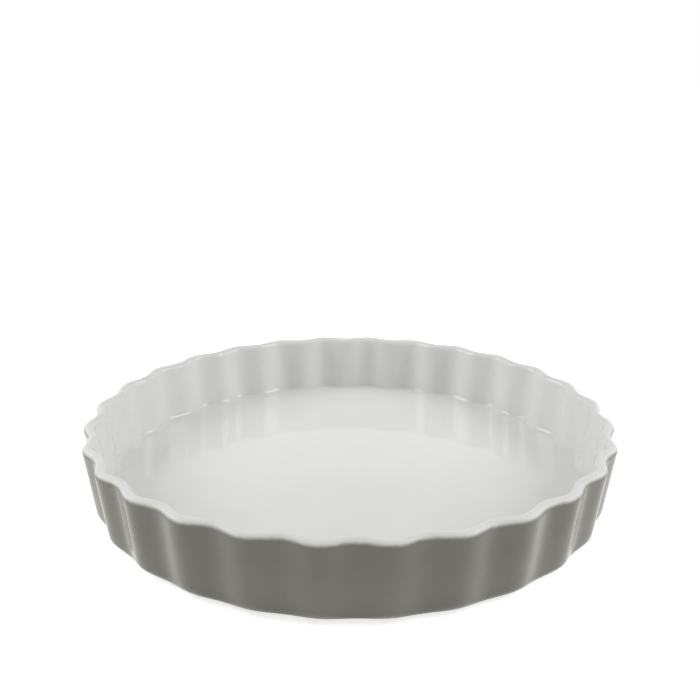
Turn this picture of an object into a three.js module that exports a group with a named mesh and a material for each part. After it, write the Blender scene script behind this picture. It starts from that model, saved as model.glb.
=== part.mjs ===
// Fluted crème brûlée dish: a round, shallow, flared porcelain dish with a scalloped rim, glazed white
// inside and warm grey outside. Millimetres, +Z up, origin on the table under the middle of the dish.
//
// The dish is one fired clay body with three coats of glaze. All four solids are turned from one section
// through the wall: the clay is that section taken in by the thickness of the glaze, and the coats fill
// the space between, so every coat lies on the clay face to face.

import * as THREE from 'three';

// Overall form
const RIM_RADIUS = 70; // outside of the rim, halfway between the crest and the groove of a flute
const HEIGHT = 21.6; // table to the top of the rim
const WALL_LEAN = THREE.MathUtils.degToRad(7.2); // how far the wall flares from upright

// Clay and glaze
const WALL_CLAY = 2.3;
const FLOOR_CLAY = 2.9;
const GLAZE = 0.3;
const GLAZE_LINE = THREE.MathUtils.degToRad(40); // where the white coat ends, up round the rim from its side

// Roundings of the finished surface
const LOWER_EDGE_RADIUS = 2.7; // where the outer wall turns under the dish
const INSIDE_FILLET = 1.6; // where the inner wall meets the floor

// Foot ring: the bare clay ring that the dish stands on
const FOOT_HEIGHT = 0.7; // table to the glazed underside outside the ring
const FOOT_INSET = 1.6; // end of the lower edge's rounding to the ring
const FOOT_WIDTH = 3.4;
const BASE_RECESS = 1.2; // table to the glazed underside inside the ring

// Flutes: half of the depth from crest to groove, at three heights of the wall
const FLUTE_COUNT = 28;
const FLUTE_AT_RIM = 0.88;
const FLUTE_AT_WALL_FOOT = 0.75;
const FLUTE_AT_UNDERSIDE = 0.14;

// Facets
const STEPS_PER_FLUTE = 6;
const RIM_INNER_STEPS = 2; // inner wall to the top of the rim
const RIM_OUTER_STEPS = 1; // top of the rim to the end of the white coat
const RIM_SIDE_STEPS = 1; // end of the white coat to the outer wall
const EDGE_STEPS = 2;
const FILLET_STEPS = 2;

const COLUMNS = FLUTE_COUNT * STEPS_PER_FLUTE;
const WALL = WALL_CLAY + 2 * GLAZE;
const FLOOR_TOP = BASE_RECESS + GLAZE + FLOOR_CLAY + GLAZE;

// The wall stands between two parallel lines that lean outwards. The rim is a half round on their top end.
const outward = new THREE.Vector2(Math.cos(WALL_LEAN), -Math.sin(WALL_LEAN));
const downWall = new THREE.Vector2(-Math.sin(WALL_LEAN), -Math.cos(WALL_LEAN));
const rimCentre = new THREE.Vector2(RIM_RADIUS - WALL / 2, HEIGHT - WALL / 2);

// The point at a given height on the line that runs down the wall, a given distance out from its middle.
function onWall(distanceOut, height) {
  const start = rimCentre.clone().addScaledVector(outward, distanceOut);
  return start.addScaledVector(downWall, (start.y - height) / Math.cos(WALL_LEAN));
}

const edgeCentre = onWall(WALL / 2 - LOWER_EDGE_RADIUS, FOOT_HEIGHT + LOWER_EDGE_RADIUS);
const filletCentre = onWall(-WALL / 2 - INSIDE_FILLET, FLOOR_TOP + INSIDE_FILLET);

const footOuter = edgeCentre.x - FOOT_INSET;
const footInner = footOuter - FOOT_WIDTH;

// A flute is deepest at the rim and dies away towards the underside.
function fluteHalfDepth(height) {
  const wallFoot = edgeCentre.y;
  if (height > wallFoot) {
    return THREE.MathUtils.mapLinear(height, wallFoot, HEIGHT, FLUTE_AT_WALL_FOOT, FLUTE_AT_RIM);
  }
  return THREE.MathUtils.mapLinear(height, FOOT_HEIGHT, wallFoot, FLUTE_AT_UNDERSIDE, FLUTE_AT_WALL_FOOT);
}

const fluted = (radius, height) => ({ radius, height, flute: fluteHalfDepth(height) });
const plain = (radius, height) => ({ radius, height, flute: 0 });

function arc(centre, radius, fromAngle, toAngle, steps) {
  return Array.from({ length: steps + 1 }, (_, step) => {
    const angle = THREE.MathUtils.lerp(fromAngle, toAngle, step / steps);
    return fluted(centre.x + radius * Math.cos(angle), centre.y + radius * Math.sin(angle));
  });
}

// The stretches of the section, taken in from the finished surface by a given depth. The grey stretch of the
// rim leaves out its first point, which is the end of the white one.
const floorAndFillet = (depth) => [
  plain(0, FLOOR_TOP - depth),
  ...arc(filletCentre, INSIDE_FILLET + depth, -Math.PI / 2, -WALL_LEAN, FILLET_STEPS),
];
const whiteRim = (depth) => [
  ...arc(rimCentre, WALL / 2 - depth, Math.PI - WALL_LEAN, Math.PI / 2, RIM_INNER_STEPS),
  ...arc(rimCentre, WALL / 2 - depth, Math.PI / 2, GLAZE_LINE, RIM_OUTER_STEPS).slice(1),
];
const endOfWhite = (depth) => whiteRim(depth).at(-1);
const greyRim = (depth) => arc(rimCentre, WALL / 2 - depth, GLAZE_LINE, -WALL_LEAN, RIM_SIDE_STEPS).slice(1);
const lowerEdge = (depth) => arc(edgeCentre, LOWER_EDGE_RADIUS - depth, -WALL_LEAN, -Math.PI / 2, EDGE_STEPS);
const underside = (depth) => plain(footOuter, FOOT_HEIGHT + depth);

// Whether the flat between two columns falls towards its groove, which sets how its four-sided faces split.
const fallsToGroove = (column) => column % STEPS_PER_FLUTE < STEPS_PER_FLUTE / 2;

// Turns a section once round Z and presses the flutes into it. The section runs anticlockwise, seen with
// the axis on its left, and starts and ends on the axis or closes on itself. Each four-sided face splits
// the same way whichever way the section runs through it, so that two solids can share it.
function turn(section) {
  const rows = section.length;
  const outline = section.map((point) => new THREE.Vector2(point.radius, point.height));
  const geometry = new THREE.LatheGeometry(outline, COLUMNS);
  geometry.rotateX(Math.PI / 2);
  const position = geometry.getAttribute('position');
  for (let column = 0; column <= COLUMNS; column += 1) {
    const angle = (column / COLUMNS) * 2 * Math.PI;
    section.forEach((point, row) => {
      const radius = point.radius + point.flute * Math.cos(FLUTE_COUNT * angle);
      position.setXY(column * rows + row, radius * Math.sin(angle), -radius * Math.cos(angle));
    });
  }
  const triangles = [];
  for (let column = 0; column < COLUMNS; column += 1) {
    for (let row = 0; row + 1 < rows; row += 1) {
      const near = column * rows + row;
      const far = near + rows;
      const rises = section[row + 1].height > section[row].height;
      if (section[row].radius === 0) {
        triangles.push(near, far + 1, near + 1);
      } else if (section[row + 1].radius === 0) {
        triangles.push(near, far, near + 1);
      } else if (rises === fallsToGroove(column)) {
        triangles.push(near, far, far + 1, near, far + 1, near + 1);
      } else {
        triangles.push(near, far, near + 1, far, far + 1, near + 1);
      }
    }
  }
  geometry.setIndex(triangles);
  geometry.computeVertexNormals();
  return geometry;
}

function solid(name, section, color, roughness) {
  const material = new THREE.MeshStandardMaterial({ color, roughness, metalness: 0 });
  const mesh = new THREE.Mesh(turn(section), material);
  mesh.name = name;
  return mesh;
}

// Clay: under the base glaze, round the bare foot ring, up the outer wall, over the rim and in to the floor.
const claySection = [
  plain(0, BASE_RECESS + GLAZE),
  plain(footInner, BASE_RECESS + GLAZE),
  plain(footInner, 0),
  plain(footOuter, 0),
  underside(GLAZE),
  ...lowerEdge(GLAZE).toReversed(),
  ...greyRim(GLAZE).toReversed(),
  ...whiteRim(GLAZE).toReversed(),
  ...floorAndFillet(GLAZE).toReversed(),
];

// White coat: the floor, the inner wall and the top of the rim.
const insideSection = [
  ...floorAndFillet(GLAZE),
  ...whiteRim(GLAZE),
  ...whiteRim(0).toReversed(),
  ...floorAndFillet(0).toReversed(),
];

// Grey coat: from the white one down the outer wall, round the lower edge and in to the foot ring.
const outsideSection = [
  underside(0),
  ...lowerEdge(0).toReversed(),
  ...greyRim(0).toReversed(),
  endOfWhite(0),
  endOfWhite(GLAZE),
  ...greyRim(GLAZE),
  ...lowerEdge(GLAZE),
  underside(GLAZE),
  underside(0),
];

// Grey coat on the underside, inside the foot ring.
const baseSection = [
  plain(0, BASE_RECESS),
  plain(footInner, BASE_RECESS),
  plain(footInner, BASE_RECESS + GLAZE),
  plain(0, BASE_RECESS + GLAZE),
];

const dish = new THREE.Group();
dish.add(
  solid('porcelain_body', claySection, '#e6e1d6', 0.8),
  solid('inside_glaze', insideSection, '#e9e9e6', 0.12),
  solid('outside_glaze', outsideSection, '#8b8a82', 0.16),
  solid('base_glaze', baseSection, '#8b8a82', 0.2),
);

export default dish;
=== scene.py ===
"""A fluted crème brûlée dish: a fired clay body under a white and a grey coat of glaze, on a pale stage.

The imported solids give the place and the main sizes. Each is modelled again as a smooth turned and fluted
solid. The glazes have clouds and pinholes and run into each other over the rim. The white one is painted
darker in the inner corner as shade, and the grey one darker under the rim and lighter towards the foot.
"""

import math

import bmesh
import bpy
from bpy.props import FloatProperty, FloatVectorProperty, IntProperty, PointerProperty
from mathutils import Euler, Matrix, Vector


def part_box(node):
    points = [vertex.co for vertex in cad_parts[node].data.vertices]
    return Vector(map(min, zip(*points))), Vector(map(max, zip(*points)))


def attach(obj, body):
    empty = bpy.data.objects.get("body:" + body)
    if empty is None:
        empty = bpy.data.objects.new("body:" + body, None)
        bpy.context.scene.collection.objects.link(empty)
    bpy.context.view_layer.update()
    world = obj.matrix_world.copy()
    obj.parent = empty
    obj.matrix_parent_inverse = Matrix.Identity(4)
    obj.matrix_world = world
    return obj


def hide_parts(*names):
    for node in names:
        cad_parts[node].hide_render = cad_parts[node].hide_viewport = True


bl_info = {
    "name": "Fluted Creme Brulee Dish",
    "version": (1, 0, 0),
    "blender": (4, 5, 0),
    "location": "View3D > Sidebar > Dish",
    "description": "Models and glazes a fluted porcelain dish over its packed solids",
    "category": "Object",
}

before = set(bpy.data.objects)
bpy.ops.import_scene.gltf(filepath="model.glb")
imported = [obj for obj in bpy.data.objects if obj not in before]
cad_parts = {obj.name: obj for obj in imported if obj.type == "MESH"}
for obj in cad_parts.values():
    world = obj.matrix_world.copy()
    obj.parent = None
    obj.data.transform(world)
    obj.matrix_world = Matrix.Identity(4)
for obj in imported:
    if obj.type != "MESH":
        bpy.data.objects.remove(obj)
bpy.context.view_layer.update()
BODY = "root"

MM = 0.001
INSIDE_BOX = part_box("inside_glaze")
OUTSIDE_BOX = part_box("outside_glaze")
BASE_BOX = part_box("base_glaze")
GLAZE_DEPTH = BASE_BOX[1].z - BASE_BOX[0].z
CREST_AT_RIM = 0.88 * MM  # how far the crests stand out where the rim is widest, with a hair to spare


# Sizes, colours and stage


class DishSizes(bpy.types.PropertyGroup):
    """Sizes of the finished dish."""

    rim_radius: FloatProperty(
        name="Rim radius",
        description="Outside of the rim, halfway between the crest and the groove of a flute",
        default=OUTSIDE_BOX[1].x - CREST_AT_RIM,
        unit="LENGTH",
    )
    height: FloatProperty(
        name="Height",
        description="Table to the top of the rim",
        default=INSIDE_BOX[1].z,
        unit="LENGTH",
    )
    lean: FloatProperty(
        name="Wall lean",
        description="How far the wall flares from upright",
        default=math.radians(7.2),
        unit="ROTATION",
    )
    wall: FloatProperty(
        name="Wall",
        description="Thickness of the wall with its glaze",
        default=2.9 * MM,
        unit="LENGTH",
    )
    glaze: FloatProperty(
        name="Glaze",
        description="Thickness of a coat of glaze",
        default=GLAZE_DEPTH,
        unit="LENGTH",
    )
    floor_top: FloatProperty(
        name="Floor",
        description="Table to the glazed floor inside",
        default=INSIDE_BOX[0].z + GLAZE_DEPTH,
        unit="LENGTH",
    )
    lower_edge_radius: FloatProperty(
        name="Lower edge",
        description="Rounding where the outer wall turns under the dish",
        default=2.7 * MM,
        unit="LENGTH",
    )
    inside_fillet: FloatProperty(
        name="Inside fillet",
        description="Rounding where the inner wall meets the floor",
        default=1.6 * MM,
        unit="LENGTH",
    )
    glaze_line: FloatProperty(
        name="Glaze line",
        description="Where the white coat ends on the rim, as an angle above its outermost point",
        default=math.radians(40),
        unit="ROTATION",
    )
    foot_height: FloatProperty(
        name="Foot height",
        description="Table to the glazed underside outside the foot ring",
        default=OUTSIDE_BOX[0].z,
        unit="LENGTH",
    )
    foot_inset: FloatProperty(
        name="Foot inset",
        description="From the end of the lower edge's rounding to the foot ring",
        default=1.6 * MM,
        unit="LENGTH",
    )
    foot_edge: FloatProperty(
        name="Foot edge",
        description="Rounding of the two edges that the foot ring stands on",
        default=0.35 * MM,
        unit="LENGTH",
    )
    base_meniscus: FloatProperty(
        name="Base meniscus",
        description="How far the glaze of the base creeps down the inside of the foot ring",
        default=0.4 * MM,
        unit="LENGTH",
    )
    foot_inner: FloatProperty(
        name="Foot inner radius",
        description="Inside of the bare foot ring",
        default=BASE_BOX[1].x,
        unit="LENGTH",
    )
    base_recess: FloatProperty(
        name="Base recess",
        description="Table to the glazed underside inside the foot ring",
        default=BASE_BOX[0].z,
        unit="LENGTH",
    )
    flute_count: IntProperty(
        name="Flutes",
        description="Flutes round the wall",
        default=28,
    )
    flute_at_rim: FloatProperty(
        name="Flute at the rim",
        description="Half of the depth from crest to groove at the rim",
        default=0.88 * MM,
        unit="LENGTH",
    )
    flute_at_wall_foot: FloatProperty(
        name="Flute at the wall's foot",
        description="Half of the depth from crest to groove where the lower edge's rounding starts",
        default=0.75 * MM,
        unit="LENGTH",
    )
    flute_at_underside: FloatProperty(
        name="Flute at the underside",
        description="Half of the depth from crest to groove where the lower edge's rounding ends",
        default=0.14 * MM,
        unit="LENGTH",
    )


class DishFinish(bpy.types.PropertyGroup):
    """Colours of the clay and the glazes."""

    white: FloatVectorProperty(
        name="White glaze",
        description="Inside glaze where it is thick",
        default=(0.80, 0.80, 0.79),
        subtype="COLOR",
    )
    # painted shade: a darker white for the corner between the inner wall and the floor
    white_corner_shade: FloatVectorProperty(
        name="White glaze, painted corner shade",
        description="Inside glaze painted darker in the corner between the wall and the floor, as shade",
        default=(0.745, 0.75, 0.735),
        subtype="COLOR",
    )
    white_thin: FloatVectorProperty(
        name="White glaze, thin",
        description="Inside glaze where it is thin and the clay warms it",
        default=(0.765, 0.765, 0.745),
        subtype="COLOR",
    )
    # partly painted shade: the grey stays this dark under the rim
    grey: FloatVectorProperty(
        name="Grey glaze",
        description="Outside glaze where its clouds are thick, and painted darkest under the rim as shade",
        default=(0.168, 0.164, 0.132),
        subtype="COLOR",
    )
    # partly painted light: the grey turns towards this lighter colour near the foot, as well as in its
    # clouds
    grey_thin_and_painted_light: FloatVectorProperty(
        name="Grey glaze, thin and painted light",
        description="Outside glaze where its clouds are thin, and painted lighter towards the foot as light",
        default=(0.235, 0.23, 0.19),
        subtype="COLOR",
    )
    clay: FloatVectorProperty(
        name="Clay",
        description="Bare fired clay of the foot ring",
        default=(0.68, 0.63, 0.54),
        subtype="COLOR",
    )
    clay_rubbed: FloatVectorProperty(
        name="Rubbed clay",
        description="Bare clay where tables and shelves have rubbed it",
        default=(0.47, 0.43, 0.37),
        subtype="COLOR",
    )


class DishStage(bpy.types.PropertyGroup):
    """Where the camera stands and how the stage is lit."""

    azimuth: FloatProperty(
        name="Azimuth",
        description="Camera's way round the dish from straight in front",
        default=math.radians(5.35),
        unit="ROTATION",
    )
    elevation: FloatProperty(
        name="Elevation",
        description="Camera's angle above the rim, seen from the middle of the rim",
        default=math.radians(21.83),
        unit="ROTATION",
    )
    distance: FloatProperty(
        name="Distance",
        description="Camera to the middle of the rim",
        default=253.45 * MM,
        unit="LENGTH",
    )
    tilt_up: FloatProperty(
        name="Tilt up",
        description="How far the camera aims above the middle of the rim",
        default=math.radians(3.837),
        unit="ROTATION",
    )
    roll: FloatProperty(
        name="Roll",
        description="Camera's turn about its own line of sight",
        default=math.radians(0.269),
        unit="ROTATION",
    )
    lens: FloatProperty(
        name="Lens",
        description="Focal length on a 36 mm wide sensor, in millimetres",
        default=47.6,
    )
    fill: FloatProperty(
        name="Fill light",
        description="Strength of the light from all round",
        default=0.42,
    )
    overhead: FloatProperty(
        name="Overhead softbox",
        description="Power of the softbox above the dish, in watts",
        default=0.35,
    )
    sides: FloatProperty(
        name="Side softboxes",
        description="Power of each of the softboxes left and right of the dish, in watts",
        default=2.08,
    )


# Turned solids

ROUND_STEPS = 16  # columns of faces in each flute
FINE = 12  # steps in a rounding that shows
COARSE = 6  # steps in a rounding that another coat covers, or that is very small
WALL_STEPS = 12
FLOOR_STEPS = 6
MERGE = 1e-7  # vertices closer than this become one
OVER_RIM = "over_rim"  # attribute that tells the glazes how far round the rim a point lies
CREASE = math.radians(55)  # edges sharper than this stay sharp


def sizes():
    return bpy.context.scene.dish_sizes


class WallLines:
    """The wall's two leaning faces and the centres of its roundings, in the XZ plane."""

    def __init__(self, dish):
        self.dish = dish
        self.outward = Vector((math.cos(dish.lean), 0, -math.sin(dish.lean)))
        half = dish.wall / 2
        self.rim = Vector((dish.rim_radius - half, 0, dish.height - half))
        self.edge = self.at(half - dish.lower_edge_radius, dish.foot_height + dish.lower_edge_radius)
        self.fillet = self.at(-half - dish.inside_fillet, dish.floor_top + dish.inside_fillet)
        self.foot_outer = self.edge.x - dish.foot_inset

    def at(self, distance_out, height):
        """Point at a height on the line down the wall, a distance out from the wall's middle."""
        start = self.rim + self.outward * distance_out
        drop = start.z - height
        return Vector((start.x - drop * math.tan(self.dish.lean), 0, height))

    def glaze_end(self, depth):
        """Where the white coat ends and the grey one starts on the rim, taken in by a depth."""
        angle = self.dish.glaze_line
        return self.rim + (self.dish.wall / 2 - depth) * Vector((math.cos(angle), 0, math.sin(angle)))

    def underneath(self, height):
        """Whether a height lies under the clay of the floor, where only the outside of the dish is."""
        return height < self.dish.floor_top - 2 * self.dish.glaze

    def over_rim(self, radius, height):
        """How far round the rim a point lies: 0 at its outermost point, 1 on its top, 2 on its inner side.

        It runs on below 0 down the outer wall.
        """
        if height < self.rim.z:
            outside = self.underneath(height) or radius > self.at(0, height).x
            return (height - self.rim.z) / self.dish.wall if outside else 2.0
        return math.atan2(height - self.rim.z, radius - self.rim.x) / (math.pi / 2)

    def flute(self, radius, height):
        """Half of the depth of the flutes at a point of the section."""
        dish = self.dish
        start = self.edge.x if self.underneath(height) else self.fillet.x
        if radius < start - dish.glaze / 2:
            return 0.0
        if height > self.edge.z:
            share = (height - self.edge.z) / (dish.height - self.edge.z)
            return dish.flute_at_wall_foot + share * (dish.flute_at_rim - dish.flute_at_wall_foot)
        share = (height - dish.foot_height) / (self.edge.z - dish.foot_height)
        return dish.flute_at_underside + share * (dish.flute_at_wall_foot - dish.flute_at_underside)


class Pen:
    """Draws a section in the XZ plane, one stretch after another, as vertices and edges of a bmesh."""

    def __init__(self, mesh, radius, height):
        self.mesh = mesh
        self.tip = bmesh.ops.create_vert(mesh, co=(radius, 0, height))["vert"][0]
        self.first = self.tip

    def line(self, radius, height, steps=1):
        start = self.tip.co.copy()
        end = Vector((radius, 0, height))
        for step in range(steps):
            self.tip = bmesh.ops.extrude_vert_indiv(self.mesh, verts=[self.tip])["verts"][0]
            self.tip.co = start.lerp(end, (step + 1) / steps)

    def arc(self, centre, radius, start, end, steps, line_steps=1):
        """A rounding from one angle to another, reached by a straight stretch."""
        where = centre + radius * Vector((math.cos(start), 0, math.sin(start)))
        self.line(where.x, where.z, line_steps)
        made = bmesh.ops.spin(
            self.mesh, geom=[self.tip], cent=centre, axis=(0, -1, 0), angle=end - start, steps=steps
        )
        self.tip = next(part for part in made["geom_last"] if isinstance(part, bmesh.types.BMVert))


def turn(mesh, lines):
    """Turns the drawn section once round Z and presses the flutes into it."""
    dish = lines.dish
    bmesh.ops.remove_doubles(mesh, verts=mesh.verts[:], dist=MERGE)
    bmesh.ops.spin(
        mesh,
        geom=mesh.verts[:] + mesh.edges[:],
        cent=(0, 0, 0),
        axis=(0, 0, 1),
        angle=2 * math.pi,
        steps=dish.flute_count * ROUND_STEPS,
        use_merge=True,
    )
    bmesh.ops.remove_doubles(mesh, verts=mesh.verts[:], dist=MERGE)
    over_rim = mesh.verts.layers.float.new(OVER_RIM)
    for vert in mesh.verts:
        radius = math.hypot(vert.co.x, vert.co.y)
        vert[over_rim] = lines.over_rim(radius, vert.co.z)
        depth = lines.flute(radius, vert.co.z)
        if depth:
            phase = dish.flute_count * math.atan2(vert.co.x, -vert.co.y)
            grown = (radius + depth * math.cos(phase)) / radius
            vert.co.x *= grown
            vert.co.y *= grown
    bmesh.ops.recalc_face_normals(mesh, faces=mesh.faces[:])


# Pieces


def add_piece(name, mesh, node, material):
    """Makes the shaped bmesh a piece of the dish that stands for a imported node."""
    data = bpy.data.meshes.new(name)
    mesh.to_mesh(data)
    mesh.free()
    data.shade_smooth()
    data.set_sharp_from_angle(angle=CREASE)
    data.materials.append(material)
    piece = bpy.data.objects.new(name, data)
    bpy.context.scene.collection.objects.link(piece)
    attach(piece, BODY)
    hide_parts(node)


def draw_inside(pen, lines, depth, steps):
    """Floor, fillet, inner wall and the top of the rim, taken in by a depth, from the axis outwards."""
    dish = lines.dish
    down, level = -math.pi / 2, -dish.lean
    pen.arc(lines.fillet, dish.inside_fillet + depth, down, level, steps, FLOOR_STEPS)
    pen.arc(lines.rim, dish.wall / 2 - depth, math.pi - dish.lean, dish.glaze_line, steps * 2, WALL_STEPS)


def draw_outside(pen, lines, depth, steps):
    """Side of the rim, outer wall, lower edge and underside, taken in by a depth, down to the foot ring."""
    dish = lines.dish
    pen.arc(lines.rim, dish.wall / 2 - depth, dish.glaze_line, -dish.lean, steps // 2)
    pen.arc(lines.edge, dish.lower_edge_radius - depth, -dish.lean, -math.pi / 2, steps, WALL_STEPS)
    pen.line(lines.foot_outer, dish.foot_height + depth)


class DISH_OT_white_glaze(bpy.types.Operator):
    """White coat on the floor, the inner wall and the top of the rim"""

    bl_idname = "dish.white_glaze"
    bl_label = "White Inside Glaze"

    def execute(self, context):
        dish = sizes()
        lines = WallLines(dish)
        mesh = bmesh.new()
        top = Pen(mesh, 0, dish.floor_top)
        draw_inside(top, lines, 0, FINE)
        under = Pen(mesh, 0, dish.floor_top - dish.glaze)
        draw_inside(under, lines, dish.glaze, COARSE)
        mesh.edges.new((top.tip, under.tip))
        turn(mesh, lines)
        add_piece("white_glaze_coat", mesh, "inside_glaze", white_glaze_material())
        return {"FINISHED"}


class DISH_OT_grey_glaze(bpy.types.Operator):
    """Grey coat from the rim down the outer wall to the foot ring"""

    bl_idname = "dish.grey_glaze"
    bl_label = "Grey Outside Glaze"

    def execute(self, context):
        dish = sizes()
        lines = WallLines(dish)
        mesh = bmesh.new()
        face_start = lines.glaze_end(0)
        face = Pen(mesh, face_start.x, face_start.z)
        draw_outside(face, lines, 0, FINE)
        under_start = lines.glaze_end(dish.glaze)
        under = Pen(mesh, under_start.x, under_start.z)
        draw_outside(under, lines, dish.glaze, COARSE)
        mesh.edges.new((face.tip, under.tip))
        mesh.edges.new((face.first, under.first))
        turn(mesh, lines)
        add_piece("grey_glaze_coat", mesh, "outside_glaze", grey_glaze_material())
        return {"FINISHED"}


class DISH_OT_base_glaze(bpy.types.Operator):
    """Grey coat on the underside, inside the foot ring"""

    bl_idname = "dish.base_glaze"
    bl_label = "Grey Base Glaze"

    def execute(self, context):
        dish = sizes()
        lines = WallLines(dish)
        mesh = bmesh.new()
        creep = dish.base_meniscus
        middle = Vector((dish.foot_inner - creep, 0, dish.base_recess - creep))
        pen = Pen(mesh, 0, dish.base_recess)
        pen.arc(middle, creep, math.pi / 2, 0, COARSE, FLOOR_STEPS)
        pen.line(dish.foot_inner, dish.base_recess + dish.glaze)
        pen.line(0, dish.base_recess + dish.glaze)
        turn(mesh, lines)
        add_piece("base_glaze_coat", mesh, "base_glaze", grey_glaze_material())
        return {"FINISHED"}


class DISH_OT_clay_body(bpy.types.Operator):
    """Clay body under the glaze, with its bare foot ring"""

    bl_idname = "dish.clay_body"
    bl_label = "Clay Body"

    def execute(self, context):
        dish = sizes()
        lines = WallLines(dish)
        mesh = bmesh.new()
        pen = Pen(mesh, 0, dish.floor_top - dish.glaze)
        draw_inside(pen, lines, dish.glaze, COARSE)
        draw_outside(pen, lines, dish.glaze, COARSE)
        edge = dish.foot_edge
        down = -math.pi / 2
        pen.arc(Vector((lines.foot_outer - edge, 0, edge)), edge, 0, down, COARSE)
        pen.arc(Vector((dish.foot_inner + edge, 0, edge)), edge, down, -math.pi, COARSE)
        pen.line(dish.foot_inner, dish.base_recess + dish.glaze)
        pen.line(0, dish.base_recess + dish.glaze)
        turn(mesh, lines)
        add_piece("clay_body", mesh, "porcelain_body", clay_material())
        return {"FINISHED"}


# Shader nodes

MIX_FACTOR = 0  # a Mix node's sockets for colours
MIX_FIRST = 6
MIX_SECOND = 7
MIX_RESULT = 2


def add_node(tree, kind, inputs=None, **settings):
    """Adds a node with its settings, and sets or links each of the named or numbered inputs."""
    node = tree.nodes.new(kind)
    for name, value in settings.items():
        setattr(node, name, value)
    for key, value in (inputs or {}).items():
        if isinstance(value, bpy.types.NodeSocket):
            tree.links.new(value, node.inputs[key])
        else:
            node.inputs[key].default_value = value
    return node


def add_math(tree, operation, *values, clamp=False):
    inputs = dict(enumerate(values))
    return add_node(tree, "ShaderNodeMath", inputs, operation=operation, use_clamp=clamp).outputs[0]


def add_ramp(tree, value, low, high, to_low=0.0, to_high=1.0):
    """Runs smoothly from one value to another while the input goes from low to high."""
    inputs = {"Value": value, "From Min": low, "From Max": high, "To Min": to_low, "To Max": to_high}
    node = add_node(tree, "ShaderNodeMapRange", inputs, interpolation_type="SMOOTHSTEP")
    return node.outputs["Result"]


def mix_colors(tree, share, first, second):
    inputs = {MIX_FACTOR: share, MIX_FIRST: first, MIX_SECOND: second}
    return add_node(tree, "ShaderNodeMix", inputs, data_type="RGBA").outputs[MIX_RESULT]


def object_point(tree):
    return add_node(tree, "ShaderNodeTexCoord").outputs["Object"]


def over_rim_value(tree):
    """How far round the rim a point of the surface lies, as WallLines.over_rim counts it."""
    return add_node(tree, "ShaderNodeAttribute", attribute_name=OVER_RIM).outputs["Fac"]


def add_noise(tree, scale, detail, roughness=0.5):
    """Soft noise over the piece, mostly between 0.3 and 0.7."""
    inputs = {"Vector": object_point(tree), "Scale": scale, "Detail": detail, "Roughness": roughness}
    return add_node(tree, "ShaderNodeTexNoise", inputs).outputs["Fac"]


# Node groups that both glazes use

NOISE_EDGES = (0.3, 0.7)
PINHOLE_EDGES = (0.03, 0.07)  # a pinhole's soft edge, in the scale of its cell
CELLS_LEFT_OUT = 0.93  # share of the cells that have no pinhole
RIM_STARTS = (-0.3, 0.2)  # where the rim starts outside and ends inside, as WallLines.over_rim counts it
RIM_ENDS = (1.4, 1.9)


def new_group(name, inputs, outputs):
    """A shader node group with the given value inputs and outputs, and its ends."""
    tree = bpy.data.node_groups.new(name, "ShaderNodeTree")
    for label, default in inputs.items():
        socket = tree.interface.new_socket(label, in_out="INPUT", socket_type="NodeSocketFloat")
        socket.default_value = default
    for label in outputs:
        tree.interface.new_socket(label, in_out="OUTPUT", socket_type="NodeSocketFloat")
    return tree, tree.nodes.new("NodeGroupInput").outputs, tree.nodes.new("NodeGroupOutput").inputs


def place_group(tree, group, values=None):
    return add_node(tree, "ShaderNodeGroup", values, node_tree=group).outputs


def flute_group():
    """1 on the crests of the flutes, seen from outside, -1 in their grooves, and 0 on the floor."""
    if "flute_crests" in bpy.data.node_groups:
        return bpy.data.node_groups["flute_crests"]
    lines = WallLines(sizes())
    defaults = {"Flutes": sizes().flute_count, "Starts": lines.fillet.x, "Full": lines.edge.x}
    tree, given, result = new_group("flute_crests", defaults, ("Crest",))
    point = add_node(tree, "ShaderNodeSeparateXYZ", {0: object_point(tree)}).outputs
    angle = add_math(tree, "ARCTAN2", point["Y"], point["X"])
    wave = add_math(tree, "COSINE", add_math(tree, "MULTIPLY", angle, given["Flutes"]))
    across = add_node(tree, "ShaderNodeCombineXYZ", {"X": point["X"], "Y": point["Y"]}).outputs[0]
    radius = add_node(tree, "ShaderNodeVectorMath", {0: across}, operation="LENGTH").outputs["Value"]
    on_wall = add_ramp(tree, radius, given["Starts"], given["Full"])
    tree.links.new(add_math(tree, "MULTIPLY", wave, on_wall), result["Crest"])
    return tree


def glaze_group():
    """Marks of a fired glaze: slow clouds of thicker and thinner glaze, pinholes and a faint ripple."""
    if "fired_glaze" in bpy.data.node_groups:
        return bpy.data.node_groups["fired_glaze"]
    defaults = {"Cloud Scale": 55, "Pinhole Scale": 260, "Ripple Scale": 420}
    tree, given, result = new_group("fired_glaze", defaults, ("Cloud", "Pinhole", "Ripple"))
    cloud = add_noise(tree, given["Cloud Scale"], detail=4)
    tree.links.new(add_ramp(tree, cloud, *NOISE_EDGES), result["Cloud"])
    inputs = {"Vector": object_point(tree), "Scale": given["Pinhole Scale"]}
    cells = add_node(tree, "ShaderNodeTexVoronoi", inputs).outputs
    spot = add_ramp(tree, cells["Distance"], *PINHOLE_EDGES, 1, 0)
    chosen = add_node(tree, "ShaderNodeSeparateColor", {0: cells["Color"]}).outputs[0]
    few = add_math(tree, "GREATER_THAN", chosen, CELLS_LEFT_OUT)
    tree.links.new(add_math(tree, "MULTIPLY", spot, few), result["Pinhole"])
    tree.links.new(add_noise(tree, given["Ripple Scale"], detail=1), result["Ripple"])
    return tree


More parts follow.
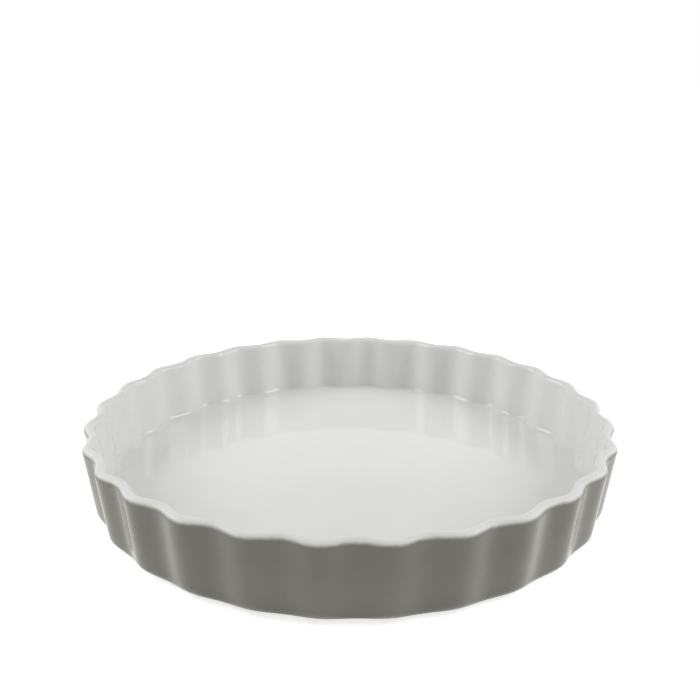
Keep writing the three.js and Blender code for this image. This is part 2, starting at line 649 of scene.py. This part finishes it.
def rim_blend_group():
    """Share of white where the two glazes have run into each other over the rim, and where the rim is."""
    if "rim_blend" in bpy.data.node_groups:
        return bpy.data.node_groups["rim_blend"]
    defaults = {"Starts": 0.0, "Ends": 0.5, "Waver": 0.25, "Waver Scale": 320, "Rim Greying": 0.04}
    tree, given, result = new_group("rim_blend", defaults, ("White", "Edge"))
    way_round = over_rim_value(tree)
    centred = add_math(tree, "SUBTRACT", add_noise(tree, given["Waver Scale"], detail=3), 0.5)
    wavered = add_math(tree, "MULTIPLY_ADD", centred, given["Waver"], way_round)
    run = add_ramp(tree, wavered, given["Starts"], given["Ends"])
    outer_half = add_ramp(tree, way_round, *RIM_STARTS)
    inner_half = add_ramp(tree, way_round, *RIM_ENDS, 1, 0)
    edge = add_math(tree, "MULTIPLY", outer_half, inner_half)
    # Rim Greying takes a little of the white out along the whole rim, so that the rim is a little darker
    # than the floor
    cover = add_math(tree, "SUBTRACT", 1, add_math(tree, "MULTIPLY", edge, given["Rim Greying"]))
    tree.links.new(add_math(tree, "MULTIPLY", run, cover), result["White"])
    tree.links.new(edge, result["Edge"])
    return tree


# Glazes and clay

WHITE_GLOSS = (0.02, 0.045)  # roughness where a glaze is smoothest and where it is roughest
GREY_GLOSS = (0.03, 0.06)
WHITE_SCALES = {"Cloud Scale": 48, "Pinhole Scale": 230}
GREY_SCALES = {"Cloud Scale": 62, "Pinhole Scale": 280}
WHITE_CLOUDS = 0.45  # how much the clouds thin a glaze
GREY_CLOUDS = 0.21
RIBS_DRAINED = 0.5  # how much the white glaze has drained off the ribs inside
CORNER_SHADE_STARTS = (0, 0.4)  # where the painted shade in the inner corner starts, in roundings of the corner above the floor
CORNER_SHADE_ENDS = (0.5, 1.1)
PAINTED_SHADE_SPAN = (-5.5, -1)  # where the grey is painted from lighter at the foot to darkest under the rim, as painted shade, as WallLines.over_rim counts it
FOOT_PAINTED_LIGHT = 0.5  # how much lighter the grey is painted towards the foot of the wall, as painted light
PINHOLE_SHOWS = 0.35
RIPPLE_DEPTH = 0.002 * MM
RIM_SATIN = 0.42  # added to the roughness on the rim, where the glaze is thin and has lost its gloss
PATCH_SCALE = 120
PATCH_EDGES = (0.48, 0.72)
PATCH_SHOWS = 0.8
GRAIN_SCALE = 2600
GRAIN_DEPTH = 0.05 * MM
CLAY_ROUGHNESS = (0.7, 0.92)


def finishes():
    return bpy.context.scene.dish_finish


def new_material(name):
    """A material with its node tree and its shader."""
    material = bpy.data.materials.new(name)
    material.use_nodes = True
    return material, material.node_tree, material.node_tree.nodes["Principled BSDF"]


def opaque(color):
    return (*color, 1)


def add_bump(tree, shader, height, distance):
    bump = add_node(tree, "ShaderNodeBump", {"Height": height, "Distance": distance, "Strength": 1})
    tree.links.new(bump.outputs["Normal"], shader.inputs["Normal"])


def corner_shade_share(tree):
    """Share of painted shade: 1 in the corner between the inner wall and the floor, 0 on the floor and up
    the wall.
    """
    dish = sizes()
    height = add_node(tree, "ShaderNodeSeparateXYZ", {0: object_point(tree)}).outputs["Z"]
    above_floor = add_math(tree, "SUBTRACT", height, dish.floor_top)
    roundings = add_math(tree, "DIVIDE", above_floor, dish.inside_fillet)
    starts = add_ramp(tree, roundings, *CORNER_SHADE_STARTS)
    ends = add_ramp(tree, roundings, *CORNER_SHADE_ENDS, 1, 0)
    return add_math(tree, "MULTIPLY", starts, ends)


def white_color(tree, marks, crest):
    """White glaze, a little warmer where it has run thin off the ribs, and painted darker as shade in the
    inner corner.
    """
    finish = finishes()
    drain_and_painted_light = add_ramp(tree, crest, -1, 0, RIBS_DRAINED, 0)
    thin = add_math(tree, "MULTIPLY_ADD", marks["Cloud"], WHITE_CLOUDS, drain_and_painted_light, clamp=True)
    even = mix_colors(tree, thin, opaque(finish.white), opaque(finish.white_thin))
    # painted shade: the white turns darker in the corner between the inner wall and the floor
    return mix_colors(tree, corner_shade_share(tree), even, opaque(finish.white_corner_shade))


def grey_color(tree, marks):
    """Grey glaze, painted darkest under the rim and lighter towards the foot as shade and light, and
    lighter in its clouds.
    """
    finish = finishes()
    # painted shade and light: darkest under the rim, lighter towards the foot
    drain_and_painted_light = add_ramp(tree, over_rim_value(tree), *PAINTED_SHADE_SPAN, FOOT_PAINTED_LIGHT, 0)
    thin = add_math(tree, "MULTIPLY_ADD", marks["Cloud"], GREY_CLOUDS, drain_and_painted_light, clamp=True)
    return mix_colors(tree, thin, opaque(finish.grey), opaque(finish.grey_thin_and_painted_light))


def glaze_material(name, gloss, scales):
    """Glossy glaze that runs into the glaze on the other side of the rim."""
    material, tree, shader = new_material(name)
    marks = place_group(tree, glaze_group(), scales)
    crest = place_group(tree, flute_group())["Crest"]
    rim = place_group(tree, rim_blend_group())
    run = mix_colors(tree, rim["White"], grey_color(tree, marks), white_color(tree, marks, crest))
    pinhole = add_math(tree, "MULTIPLY", marks["Pinhole"], PINHOLE_SHOWS)
    colored = mix_colors(tree, pinhole, run, opaque(finishes().clay_rubbed))
    tree.links.new(colored, shader.inputs["Base Color"])
    glossy = add_ramp(tree, marks["Cloud"], 0, 1, *gloss)
    roughness = add_math(tree, "MULTIPLY_ADD", rim["Edge"], RIM_SATIN, glossy)
    tree.links.new(roughness, shader.inputs["Roughness"])
    add_bump(tree, shader, marks["Ripple"], RIPPLE_DEPTH)
    return material


def white_glaze_material():
    return glaze_material("glossy_white", WHITE_GLOSS, WHITE_SCALES)


def grey_glaze_material():
    if "glossy_warm_grey" in bpy.data.materials:
        return bpy.data.materials["glossy_warm_grey"]
    return glaze_material("glossy_warm_grey", GREY_GLOSS, GREY_SCALES)


def clay_material():
    """Bare fired clay, sandy to the touch and rubbed grey in patches."""
    material, tree, shader = new_material("bisque")
    finish = finishes()
    patches = add_noise(tree, PATCH_SCALE, detail=5, roughness=0.65)
    rubbed = add_ramp(tree, patches, *PATCH_EDGES, 0, PATCH_SHOWS)
    colored = mix_colors(tree, rubbed, opaque(finish.clay), opaque(finish.clay_rubbed))
    tree.links.new(colored, shader.inputs["Base Color"])
    grain = add_noise(tree, GRAIN_SCALE, detail=2)
    roughness = add_ramp(tree, grain, *NOISE_EDGES, *CLAY_ROUGHNESS)
    tree.links.new(roughness, shader.inputs["Roughness"])
    add_bump(tree, shader, grain, GRAIN_DEPTH)
    return material


# Stage

SENSOR_WIDTH = 36  # millimetres, as Blender counts lenses
NEAREST_SEEN = 0.01
FLOOR_REACH = 3.0
FLOOR_GAP = 0.02 * MM  # floor to the foot ring, so that the two faces don't fall together
FLOOR_COLOR = (0.82, 0.82, 0.82)
FLOOR_ROUGHNESS = 0.9
FLOOR_LIFT = 0.72  # light that the floor adds for the lens and in the glaze, so that it reads as white
WHITE = (1, 1, 1)
BACKDROP_ENDS = math.radians(22.5)  # how high the white backdrop stands, seen from the dish
CEILING_STARTS = math.radians(29.5)
CEILING = 0.2  # how bright the ceiling is in the glaze, against 1 for the backdrop
OVERHEAD_SIZE = 0.6
OVERHEAD_AT = Vector((0, 0, 0.7))
SIDE_SIZE = 0.35
SIDE_AT = Vector((0.57, 0, 0.40))


class DISH_OT_stage(bpy.types.Operator):
    """Camera, pale floor, white surroundings and soft light"""

    bl_idname = "dish.stage"
    bl_label = "Stage"

    def execute(self, context):
        stage = context.scene.dish_stage
        add_camera(context.scene, stage)
        add_floor(context.scene)
        add_world(context.scene, stage)
        add_softboxes(context.scene, stage)
        context.scene.view_settings.view_transform = "Standard"
        return {"FINISHED"}


def add_camera(scene, stage):
    data = bpy.data.cameras.new("camera")
    data.sensor_width = SENSOR_WIDTH
    data.lens = stage.lens
    data.clip_start = NEAREST_SEEN
    camera = bpy.data.objects.new("camera", data)
    level = math.cos(stage.elevation)
    rise = math.sin(stage.elevation)
    back = Vector((math.sin(stage.azimuth) * level, -math.cos(stage.azimuth) * level, rise))
    camera.location = Vector((0, 0, sizes().height)) + back * stage.distance
    aim = (-back).to_track_quat("-Z", "Y")
    tilt = Euler((stage.tilt_up, 0, 0)).to_quaternion()
    roll = Euler((0, 0, stage.roll)).to_quaternion()
    camera.rotation_mode = "QUATERNION"
    camera.rotation_quaternion = aim @ tilt @ roll
    scene.collection.objects.link(camera)
    scene.camera = camera


def add_ray_factors(tree):
    """Two values of 0 or 1: whether a ray comes from the lens, and whether it comes off the glaze."""
    path = add_node(tree, "ShaderNodeLightPath").outputs
    off_glaze = add_math(tree, "MAXIMUM", path["Is Glossy Ray"], path["Is Transmission Ray"])
    return path["Is Camera Ray"], off_glaze


def add_floor(scene):
    mesh = bmesh.new()
    bmesh.ops.create_grid(mesh, x_segments=1, y_segments=1, size=FLOOR_REACH)
    data = bpy.data.meshes.new("floor")
    mesh.to_mesh(data)
    mesh.free()
    material, tree, shader = new_material("pale_floor")
    shader.inputs["Base Color"].default_value = opaque(FLOOR_COLOR)
    shader.inputs["Roughness"].default_value = FLOOR_ROUGHNESS
    shader.inputs["Specular IOR Level"].default_value = 0
    shader.inputs["Emission Color"].default_value = opaque(WHITE)
    seen = add_math(tree, "MAXIMUM", *add_ray_factors(tree))
    lift = add_math(tree, "MULTIPLY", seen, FLOOR_LIFT)
    tree.links.new(lift, shader.inputs["Emission Strength"])
    data.materials.append(material)
    floor = bpy.data.objects.new("floor", data)
    floor.location.z = -FLOOR_GAP
    scene.collection.objects.link(floor)


def add_world(scene, stage):
    """White for the lens, a white backdrop under a dim ceiling in the glaze, and an even fill light."""
    world = bpy.data.worlds.new("studio")
    world.use_nodes = True
    tree = world.node_tree
    background = tree.nodes["Background"].inputs
    background["Color"].default_value = opaque(WHITE)
    from_lens, off_glaze = add_ray_factors(tree)
    direction = add_node(tree, "ShaderNodeTexCoord").outputs["Generated"]
    rise = add_node(tree, "ShaderNodeSeparateXYZ", {0: direction}).outputs["Z"]
    studio = add_ramp(tree, rise, math.sin(BACKDROP_ENDS), math.sin(CEILING_STARTS), 1, CEILING)
    above_fill = add_math(tree, "SUBTRACT", studio, stage.fill)
    lit = add_math(tree, "MULTIPLY_ADD", off_glaze, above_fill, stage.fill)
    tree.links.new(add_math(tree, "MAXIMUM", lit, from_lens), background["Strength"])
    scene.world = world


def add_softbox(scene, name, where, size, power):
    data = bpy.data.lights.new(name, "AREA")
    data.shape = "SQUARE"
    data.size = size
    data.energy = power
    softbox = bpy.data.objects.new(name, data)
    softbox.location = where
    softbox.rotation_mode = "QUATERNION"
    softbox.rotation_quaternion = (-where).to_track_quat("-Z", "Y")
    scene.collection.objects.link(softbox)


def add_softboxes(scene, stage):
    add_softbox(scene, "overhead_softbox", OVERHEAD_AT, OVERHEAD_SIZE, stage.overhead)
    add_softbox(scene, "right_softbox", SIDE_AT, SIDE_SIZE, stage.sides)
    add_softbox(scene, "left_softbox", SIDE_AT * Vector((-1, 1, 1)), SIDE_SIZE, stage.sides)


# Panel and registration


class DISH_PT_panel(bpy.types.Panel):
    """Lists the dish's sizes, colours and operators"""

    bl_label = "Dish"
    bl_idname = "DISH_PT_panel"
    bl_space_type = "VIEW_3D"
    bl_region_type = "UI"
    bl_category = "Dish"

    def draw(self, context):
        layout = self.layout
        for settings in (context.scene.dish_sizes, context.scene.dish_finish, context.scene.dish_stage):
            column = layout.column(align=True)
            for name in settings.__annotations__:
                column.prop(settings, name)
        for operator in OPERATORS:
            layout.operator(operator.bl_idname)


SETTINGS = (DishSizes, DishFinish, DishStage)
OPERATORS = (DISH_OT_clay_body, DISH_OT_white_glaze, DISH_OT_grey_glaze, DISH_OT_base_glaze, DISH_OT_stage)
CLASSES = (*SETTINGS, *OPERATORS, DISH_PT_panel)


def register():
    for cls in CLASSES:
        bpy.utils.register_class(cls)
    bpy.types.Scene.dish_sizes = PointerProperty(type=DishSizes)
    bpy.types.Scene.dish_finish = PointerProperty(type=DishFinish)
    bpy.types.Scene.dish_stage = PointerProperty(type=DishStage)


def unregister():
    del bpy.types.Scene.dish_stage
    del bpy.types.Scene.dish_finish
    del bpy.types.Scene.dish_sizes
    for cls in reversed(CLASSES):
        bpy.utils.unregister_class(cls)


def main():
    register()
    bpy.ops.dish.clay_body()
    bpy.ops.dish.white_glaze()
    bpy.ops.dish.grey_glaze()
    bpy.ops.dish.base_glaze()
    bpy.ops.dish.stage()


if __name__ == "__main__":
    main()
